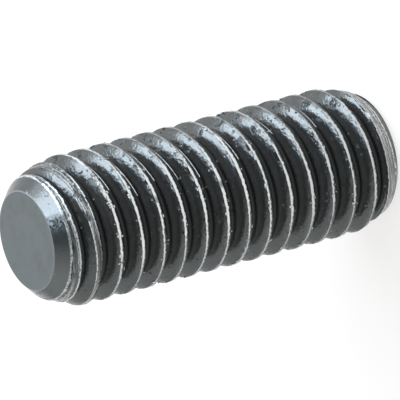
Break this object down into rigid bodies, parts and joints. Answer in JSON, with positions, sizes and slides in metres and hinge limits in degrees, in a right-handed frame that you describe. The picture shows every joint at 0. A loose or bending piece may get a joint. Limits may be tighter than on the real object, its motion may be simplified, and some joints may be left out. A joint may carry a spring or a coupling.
{
  "type": "grub set screw",
  "caption": "Headless set screw with a right-hand thread along its whole length, a chamfered flat point and a hexagon socket in the other end.",
  "frame": {"origin": "on the axis, in the plane of the ring around the socket's mouth, which the screw stands on", "axes": "+Z along the axis towards the flat end; a flat of the hexagon faces +Y"},
  "size_m": [0.006, 0.006, 0.016],
  "materials": {
    "black_oxide_steel": "black oxide, lightly oiled, worn bright on the crests"
  },
  "bodies": {
    "root": {"set_screw": "black_oxide_steel"}
  },
  "joints": []
}
